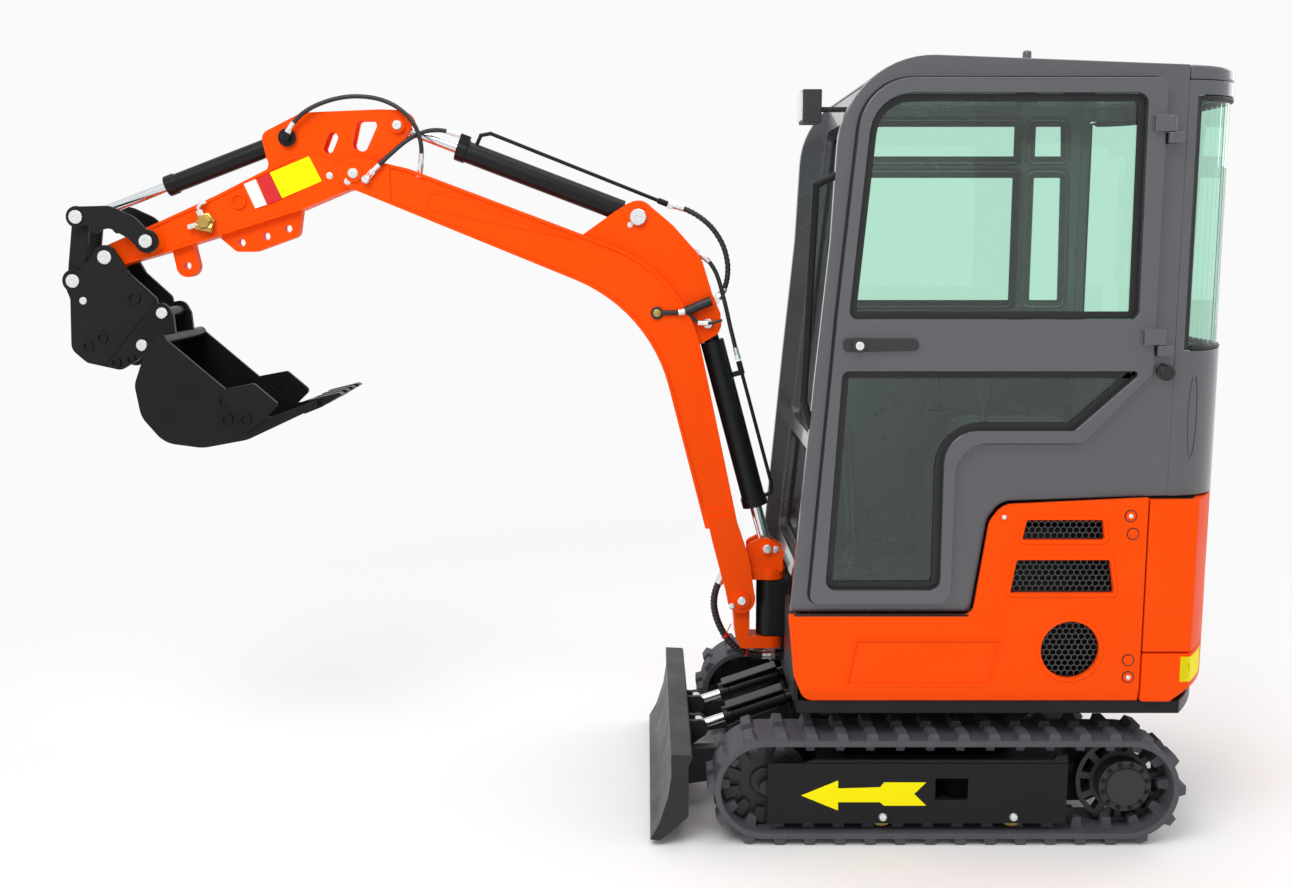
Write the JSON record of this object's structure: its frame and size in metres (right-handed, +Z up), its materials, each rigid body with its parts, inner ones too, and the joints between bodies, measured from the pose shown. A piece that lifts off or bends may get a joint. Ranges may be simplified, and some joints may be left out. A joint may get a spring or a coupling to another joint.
{
  "type": "mini excavator",
  "caption": "Cab mini excavator on rubber tracks with slewing house, swing post, boom, arm, bucket on a quick hitch, dozer blade, opening door and hood, and cylinders that follow.",
  "frame": {"origin": "on the ground under the slewing axis", "axes": "+X to the rear, boom towards -X, door side at -Y, +Z up"},
  "size_m": [3.6199, 1.102, 2.3748],
  "materials": {
    "body_paint": "gloss",
    "cab_paint": "gloss",
    "black_paint": "satin",
    "rod_chrome": "polished",
    "track_rubber": "matt",
    "cast_parts": "satin",
    "bare_steel": "satin",
    "bucket_paint": "satin",
    "cab_glass": "clear",
    "black_plastic": "satin",
    "seat_vinyl": "matt",
    "hose_rubber": "satin"
  },
  "bodies": {
    "undercarriage": {"undercarriage_frame": "black_paint", "track_left": "track_rubber", "track_right": "track_rubber", "front_idlers": "cast_parts", "drive_sprockets": "cast_parts", "travel_motors": "cast_parts", "track_rollers": "cast_parts", "slew_ring": "bare_steel"},
    "dozer_blade": {"dozer_blade": "black_paint"},
    "blade_barrels": {"blade_cylinder_barrels": "black_paint"},
    "blade_rods": {"blade_cylinder_rods": "rod_chrome"},
    "house": {"house_frame": "black_paint", "left_side_cover": "body_paint", "right_side_cover": "body_paint", "front_cover": "body_paint", "counterweight": "body_paint", "engine": "cast_parts", "cab_left_frame": "cab_paint", "cab_right_wall": "cab_paint", "cab_front_frame": "cab_paint", "cab_rear_wall": "cab_paint", "cab_roof": "cab_paint", "cab_floor": "black_plastic", "windscreen": "cab_glass", "right_windows": "cab_glass", "rear_window": "cab_glass", "seat": "seat_vinyl", "consoles": "black_plastic", "travel_levers": "black_plastic", "grab_rail": "black_paint", "work_lamp": "black_plastic"},
    "rear_hood": {"rear_hood": "body_paint"},
    "cab_door": {"door_frame": "cab_paint", "door_windows": "cab_glass", "door_handle": "black_plastic"},
    "swing_post": {"swing_post": "body_paint", "foot_hose": "hose_rubber"},
    "boom": {"boom": "body_paint", "bucket_hose": "hose_rubber", "arm_hose": "hose_rubber", "boom_hose": "hose_rubber", "lift_hose": "hose_rubber"},
    "boom_barrel": {"boom_cylinder_barrel": "black_paint"},
    "boom_rod": {"boom_cylinder_rod": "rod_chrome"},
    "arm_barrel": {"arm_cylinder_barrel": "black_paint"},
    "arm_rod": {"arm_cylinder_rod": "rod_chrome"},
    "arm": {"arm": "body_paint"},
    "bucket_barrel": {"bucket_cylinder_barrel": "black_paint"},
    "bucket_rod": {"bucket_cylinder_rod": "rod_chrome"},
    "rocker": {"rocker_links": "black_paint"},
    "bucket_link": {"bucket_link": "black_paint"},
    "bucket": {"quick_hitch": "black_paint", "bucket": "bucket_paint"}
  },
  "joints": [
    {"name": "slew", "type": "hinge", "parent": "undercarriage", "child": "house", "pos_m": [0, 0, 0.372], "axis": [0, 0, 1], "continuous": true},
    {"name": "boom_swing", "type": "hinge", "parent": "house", "child": "swing_post", "pos_m": [-0.48, 0, 0.595], "axis": [0, 0, 1], "range_deg": [-55, 55], "deforming": ["foot_hose"]},
    {"name": "boom_lift", "type": "hinge", "parent": "swing_post", "child": "boom", "pos_m": [-0.574, 0, 0.629], "axis": [0, -1, 0], "range_deg": [-8, 90]},
    {"name": "arm_crowd", "type": "hinge", "parent": "boom", "child": "arm", "pos_m": [-1.803, 0, 2.001], "axis": [0, 1, 0], "range_deg": [-66, 3], "deforming": ["bucket_hose"]},
    {"name": "bucket_curl", "type": "hinge", "parent": "arm", "child": "bucket", "pos_m": [-2.588, 0, 1.741], "axis": [0, -1, 0], "range_deg": [-118, 8]},
    {"name": "blade_lift", "type": "hinge", "parent": "undercarriage", "child": "dozer_blade", "pos_m": [-0.36, 0, 0.17], "axis": [0, -1, 0], "range_deg": [-18, 12]},
    {"name": "door_open", "type": "hinge", "parent": "house", "child": "cab_door", "pos_m": [0.578, -0.541, 1.76], "axis": [0, 0, 1], "range_deg": [0, 165]},
    {"name": "hood_open", "type": "hinge", "parent": "house", "child": "rear_hood", "pos_m": [0.577, 0.541, 0.83], "axis": [0, 0, 1], "range_deg": [0, 95]},
    {"name": "boom_barrel_pivot", "type": "hinge", "parent": "boom", "child": "boom_barrel", "pos_m": [-0.69, 0, 1.531], "axis": [0, -1, 0], "range_deg": [-0.87, 4.63], "deforming": ["lift_hose"]},
    {"name": "boom_rod_slide", "type": "slide", "parent": "boom_barrel", "child": "boom_rod", "axis": [0.2613, 0, -0.9652], "range_m": [-0.02438, 0.26915]},
    {"name": "arm_barrel_pivot", "type": "hinge", "parent": "boom", "child": "arm_barrel", "pos_m": [-0.912, 0, 1.866], "axis": [0, -1, 0], "range_deg": [-0.56, 1.85], "deforming": ["arm_hose", "boom_hose"]},
    {"name": "arm_rod_slide", "type": "slide", "parent": "arm_barrel", "child": "arm_rod", "axis": [-0.9357, 0, 0.3529], "range_m": [-0.0106, 0.22266]},
    {"name": "bucket_barrel_pivot", "type": "hinge", "parent": "arm", "child": "bucket_barrel", "pos_m": [-2.01, 0, 2.112], "axis": [0, -1, 0], "range_deg": [-9.61, 1.12]},
    {"name": "bucket_rod_slide", "type": "slide", "parent": "bucket_barrel", "child": "bucket_rod", "axis": [-0.936, 0, -0.3521], "range_m": [-0.234, 0.01633]},
    {"name": "rocker_pivot", "type": "hinge", "parent": "arm", "child": "rocker", "pos_m": [-2.45, 0, 1.791], "axis": [0, -1, 0], "range_deg": [-67.44, 5.04]},
    {"name": "link_pivot", "type": "hinge", "parent": "rocker", "child": "bucket_link", "pos_m": [-2.664, 0, 1.866], "axis": [0, -1, 0], "range_deg": [-2.69, 32.76]},
    {"name": "blade_barrel_pivot", "type": "hinge", "parent": "undercarriage", "child": "blade_barrels", "pos_m": [-0.39, 0, 0.335], "axis": [0, -1, 0], "range_deg": [-18.31, 12.37]},
    {"name": "blade_rod_slide", "type": "slide", "parent": "blade_barrels", "child": "blade_rods", "axis": [-0.9445, 0, -0.3284], "range_m": [-0.05393, 0.03612]}
  ],
  "couplings": [
    {"joint": "boom_barrel_pivot", "follows": "boom_lift", "ratio": 0.045},
    {"joint": "boom_rod_slide", "follows": "boom_lift", "m_per_rad": 0.16768},
    {"joint": "arm_barrel_pivot", "follows": "arm_crowd", "ratio": -0.02},
    {"joint": "arm_rod_slide", "follows": "arm_crowd", "m_per_rad": -0.18908},
    {"joint": "bucket_barrel_pivot", "follows": "bucket_curl", "ratio": 0.0757},
    {"joint": "bucket_rod_slide", "follows": "bucket_curl", "m_per_rad": 0.11115},
    {"joint": "rocker_pivot", "follows": "bucket_curl", "ratio": 0.5562},
    {"joint": "link_pivot", "follows": "bucket_curl", "ratio": -0.268},
    {"joint": "blade_barrel_pivot", "follows": "blade_lift", "ratio": 0.97},
    {"joint": "blade_rod_slide", "follows": "blade_lift", "m_per_rad": 0.16673}
  ]
}
